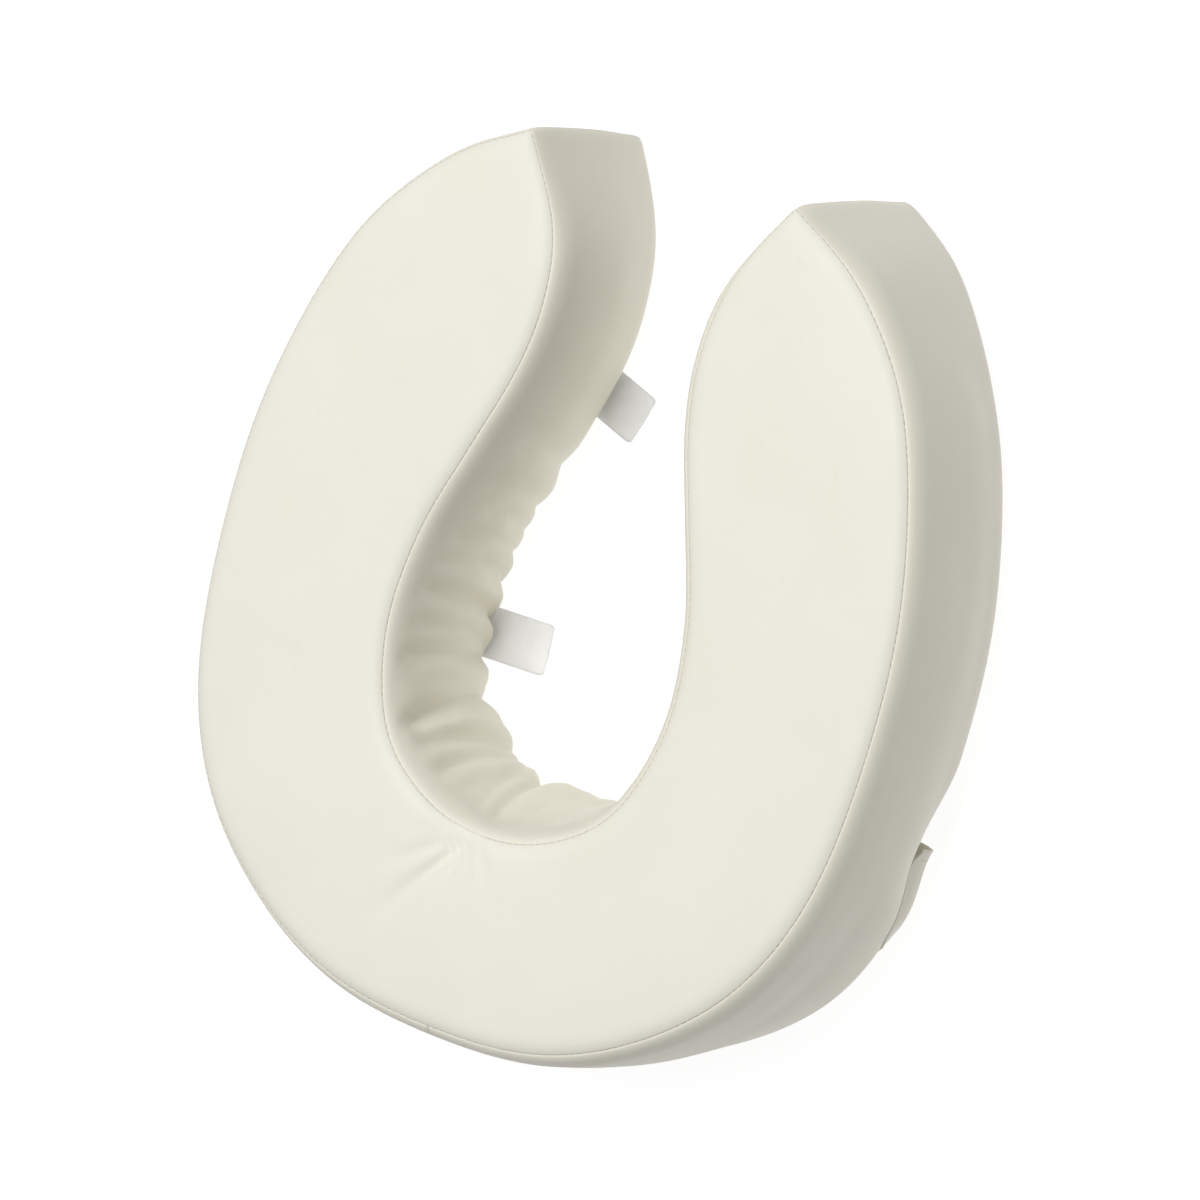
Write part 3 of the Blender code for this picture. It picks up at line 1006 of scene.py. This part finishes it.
def node(tree, kind, **settings):
    made = tree.nodes.new(kind)
    for key, value in settings.items():
        setattr(made, key, value)
    return made


def put(tree, socket, value):
    """Links a socket to another node's output, or sets it to a number or colour."""
    if isinstance(value, bpy.types.NodeSocket):
        tree.links.new(value, socket)
    else:
        socket.default_value = value


def math_node(tree, operation, *values):
    made = node(tree, "ShaderNodeMath", operation=operation)
    for socket, value in zip(made.inputs, values):
        put(tree, socket, value)
    return made.outputs[0]


def noise(tree, vector, scale, detail=2.0, roughness=0.5, output="Fac"):
    made = node(tree, "ShaderNodeTexNoise")
    put(tree, made.inputs["Vector"], vector)
    put(tree, made.inputs["Scale"], scale)
    put(tree, made.inputs["Detail"], detail)
    put(tree, made.inputs["Roughness"], roughness)
    return made.outputs[output]


def voronoi(tree, vector, scale, feature="F1"):
    made = node(tree, "ShaderNodeTexVoronoi", feature=feature)
    put(tree, made.inputs["Vector"], vector)
    put(tree, made.inputs["Scale"], scale)
    return made.outputs["Distance"]


def spread(tree, value, low, high, to_low, to_high):
    made = node(tree, "ShaderNodeMapRange")
    for socket, number in zip(made.inputs, (value, low, high, to_low, to_high)):
        put(tree, socket, number)
    return made.outputs[0]


def mixed(tree, share, first, second):
    made = node(tree, "ShaderNodeMix", data_type="RGBA")
    put(tree, made.inputs[0], share)
    put(tree, made.inputs[6], first)
    put(tree, made.inputs[7], second)
    return made.outputs[2]


def bumped(tree, height, distance, strength=1.0, normal=None):
    made = node(tree, "ShaderNodeBump")
    put(tree, made.inputs["Strength"], strength)
    put(tree, made.inputs["Distance"], distance)
    put(tree, made.inputs["Height"], height)
    if normal:
        put(tree, made.inputs["Normal"], normal)
    return made.outputs[0]


def new_material(name, roughness, specular=0.5):
    """A material with a Principled shader. Returns it, its tree, its shader and a position."""
    material = bpy.data.materials.new(name)
    material.use_nodes = True
    tree = material.node_tree
    shader = tree.nodes["Principled BSDF"]
    shader.inputs["Roughness"].default_value = roughness
    shader.inputs["Specular IOR Level"].default_value = specular
    place = node(tree, "ShaderNodeTexCoord").outputs["Object"]
    return material, tree, shader, place


def vinyl_material(name, tint=(1, 1, 1)):
    """Soft ivory vinyl: a fine pebble grain, faint clouds of colour, and dirt with painted shade in
    the seams.
    """
    material, tree, shader, place = new_material(name, 0.5, 0.26)
    # worn is the seams' darker colour: dirt with painted shade
    light, dark, worn = (
        (*(a * b for a, b in zip(colour, tint)), 1)
        for colour in (VINYL_LIGHT, VINYL_DARK, VINYL_DIRT_AND_SHADE)
    )
    clouds = noise(tree, place, 16.0, 3.0, 0.55)
    colour = mixed(tree, spread(tree, clouds, 0.3, 0.7, 0.0, 1.0), dark, light)
    # Darker along the seams: partly dirt, partly painted shade in their grooves; the strip's joint
    # darkens the same way
    seam_dirt_and_shade = node(tree, "ShaderNodeAttribute", attribute_name="seam").outputs["Fac"]
    joint = node(tree, "ShaderNodeAttribute", attribute_name="joint").outputs["Fac"]
    joint = spread(tree, joint, 0.93, 0.97, 0.0, 1.0)
    seam_dirt_and_shade = math_node(tree, "MAXIMUM", seam_dirt_and_shade, joint)
    speckle = spread(tree, noise(tree, place, 420.0, 2.0), 0.35, 0.65, 0.4, 0.8)
    colour = mixed(tree, math_node(tree, "MULTIPLY", seam_dirt_and_shade, speckle), colour, worn)
    put(tree, shader.inputs["Base Color"], colour)
    gloss = spread(tree, noise(tree, place, 38.0, 4.0, 0.6), 0.3, 0.7, 0.46, 0.58)
    put(tree, shader.inputs["Roughness"], gloss)
    warp = node(tree, "ShaderNodeVectorMath", operation="MULTIPLY_ADD")
    put(tree, warp.inputs[0], noise(tree, place, 260.0, output="Color"))
    warp.inputs[1].default_value = (0.0012,) * 3
    put(tree, warp.inputs[2], place)
    pebbles = voronoi(tree, warp.outputs[0], 880.0)
    creases = voronoi(tree, warp.outputs[0], 310.0, "DISTANCE_TO_EDGE")
    creases = spread(tree, creases, 0.0, 0.12, 0.0, 1.0)
    waves = noise(tree, place, 24.0, 2.0, 0.4)
    normal = bumped(tree, waves, 0.0009, 0.5)
    normal = bumped(tree, math_node(tree, "SUBTRACT", 1.0, joint), 0.0006, 0.8, normal)
    normal = bumped(tree, creases, 0.00003, 0.3, normal)
    normal = bumped(tree, pebbles, 0.00005, 0.35, normal)
    put(tree, shader.inputs["Normal"], normal)
    return material


def thread_material():
    """Spun polyester thread: fine twisted ridges and a soft sheen."""
    material, tree, shader, place = new_material("sewing_thread_look", 0.6, 0.3)
    twist = node(tree, "ShaderNodeTexWave", bands_direction="DIAGONAL")
    put(tree, twist.inputs["Vector"], place)
    put(tree, twist.inputs["Scale"], 900.0)
    put(tree, twist.inputs["Distortion"], 1.5)
    shade = mixed(tree, twist.outputs["Fac"], (0.70, 0.68, 0.60, 1), (0.86, 0.85, 0.79, 1))
    put(tree, shader.inputs["Base Color"], shade)
    put(tree, shader.inputs["Normal"], bumped(tree, twist.outputs["Fac"], 0.00008, 0.6))
    shader.inputs["Sheen Weight"].default_value = 0.3
    return material


def foam_material():
    """Open-cell foam: small pits of two sizes and yellowing in patches."""
    material, tree, shader, place = new_material("foam_look", 0.92, 0.2)
    cells = voronoi(tree, place, 900.0)
    pores = voronoi(tree, place, 330.0, "SMOOTH_F1")
    patches = noise(tree, place, 14.0, 3.0)
    colour = mixed(tree, patches, (0.86, 0.79, 0.52, 1), (0.90, 0.85, 0.64, 1))
    colour = mixed(tree, spread(tree, cells, 0.0, 0.5, 0.35, 0.0), colour, (0.62, 0.52, 0.28, 1))
    put(tree, shader.inputs["Base Color"], colour)
    normal = bumped(tree, cells, 0.0003, 0.8)
    put(tree, shader.inputs["Normal"], bumped(tree, pores, 0.0004, 0.6, normal))
    return material


def tape_material():
    """White loop tape: a brushed pile over fine woven ribs."""
    material, tree, shader, place = new_material("loop_tape_look", 0.85, 0.2)
    pile = noise(tree, place, 1500.0, 3.0, 0.7)
    tufts = voronoi(tree, place, 620.0)
    ribs = node(tree, "ShaderNodeTexWave", bands_direction="Y")
    put(tree, ribs.inputs["Vector"], place)
    put(tree, ribs.inputs["Scale"], 260.0)
    put(tree, ribs.inputs["Distortion"], 2.0)
    worn = noise(tree, place, 60.0, 3.0)
    colour = mixed(tree, spread(tree, worn, 0.3, 0.7, 0.0, 1.0), TAPE_SHADE, TAPE_WHITE)
    colour = mixed(tree, spread(tree, pile, 0.35, 0.65, 0.25, 0.0), colour, (0.62, 0.62, 0.61, 1))
    put(tree, shader.inputs["Base Color"], colour)
    normal = bumped(tree, ribs.outputs["Fac"], 0.0001, 0.35)
    normal = bumped(tree, tufts, 0.00025, 0.5, normal)
    normal = bumped(tree, pile, 0.0002, 0.6, normal)
    put(tree, shader.inputs["Normal"], normal)
    shader.inputs["Sheen Weight"].default_value = 0.35
    shader.inputs["Sheen Roughness"].default_value = 0.6
    # Painted light: a faint glow lightens the tape where the arm shades it
    shader.inputs["Emission Color"].default_value = (1, 1, 1, 1)
    shader.inputs["Emission Strength"].default_value = TAPE_GLOW
    return material


def hook_material():
    """Moulded hook tape: rows of small stiff hooks on a woven backing."""
    material, tree, shader, place = new_material("hook_tape_look", 0.5, 0.5)
    stems = voronoi(tree, place, 640.0)
    stems = spread(tree, stems, 0.1, 0.45, 1.0, 0.0)
    ground = noise(tree, place, 900.0, 3.0)
    colour = mixed(tree, stems, (0.60, 0.60, 0.59, 1), (0.86, 0.86, 0.85, 1))
    colour = mixed(tree, spread(tree, ground, 0.35, 0.65, 0.2, 0.0), colour, (0.5, 0.5, 0.49, 1))
    put(tree, shader.inputs["Base Color"], colour)
    put(tree, shader.inputs["Normal"], bumped(tree, stems, 0.0005, 0.9))
    return material


def floor_material():
    """Pale grey with a glow that stands for an evenly lit white ground, and fades further off."""
    material, tree, shader, place = new_material("pale_floor", 0.9, 0.1)
    shade = mixed(tree, noise(tree, place, 3.0), (0.13, 0.13, 0.13, 1), (0.15, 0.15, 0.15, 1))
    put(tree, shader.inputs["Base Color"], shade)
    shader.inputs["Emission Color"].default_value = (1, 1, 1, 1)
    away = node(tree, "ShaderNodeVectorMath", operation="DISTANCE")
    put(tree, away.inputs[0], place)
    away.inputs[1].default_value = GLOW_CENTRE
    glow = spread(tree, away.outputs["Value"], *GLOW_FADE, FLOOR_GLOW, FAR_FLOOR_GLOW)
    put(tree, shader.inputs["Emission Strength"], glow)
    return material


def add_studio():
    """A pale floor, even light from all round and one large soft lamp overhead."""
    scene = bpy.context.scene
    scene.view_settings.view_transform = "Standard"
    corners = [(x * 9000, y * 9000, 0) for x, y in ((-1, -1), (1, -1), (1, 1), (-1, 1))]
    mesh_object("floor", corners, [(0, 1, 2, 3)], floor_material())
    world = bpy.data.worlds.new("studio")
    world.use_nodes = True
    background = world.node_tree.nodes["Background"]
    background.inputs["Color"].default_value = (1, 1, 1, 1)
    background.inputs["Strength"].default_value = WORLD_LIGHT
    scene.world = world
    light = bpy.data.lights.new("key", "AREA")
    light.size = KEY_SIZE
    light.energy = KEY_POWER
    key = bpy.data.objects.new("key", light)
    key.location = KEY_PLACE
    key.rotation_euler = (-Vector(KEY_PLACE)).to_track_quat("-Z", "Y").to_euler()
    scene.collection.objects.link(key)


def add_camera():
    data = bpy.data.cameras.new("camera")
    data.lens = CAMERA_LENS
    data.sensor_width = 36
    camera = bpy.data.objects.new("camera", data)
    rows = zip(CAMERA_RIGHT, CAMERA_UP, CAMERA_BACK, CAMERA_PLACE)
    camera.matrix_world = Matrix([*rows, (0, 0, 0, 1)])
    bpy.context.scene.collection.objects.link(camera)
    bpy.context.scene.camera = camera


def add_cushion():
    """The cover, its foam, its pocket and its four straps."""
    points, smooth, faces, parts = cover_mesh()
    vinyl = vinyl_material("ivory_vinyl_look")
    # A warmer copy of the vinyl, painted shade, for the strip and the pocket
    strip_vinyl_warm_shade = vinyl_material("ivory_vinyl_warm_shade_look", STRIP_WARM_SHADE_TINT)
    thread = thread_material()
    add_cover(points, parts, vinyl, strip_vinyl_warm_shade, thread)
    add_foam(smooth, faces, foam_material())
    add_pocket(points, strip_vinyl_warm_shade, thread)
    tape, hooks = tape_material(), hook_material()
    for name in STRAPS:
        add_strap(name, tape, hooks, thread)


add_cushion()
add_studio()
add_camera()
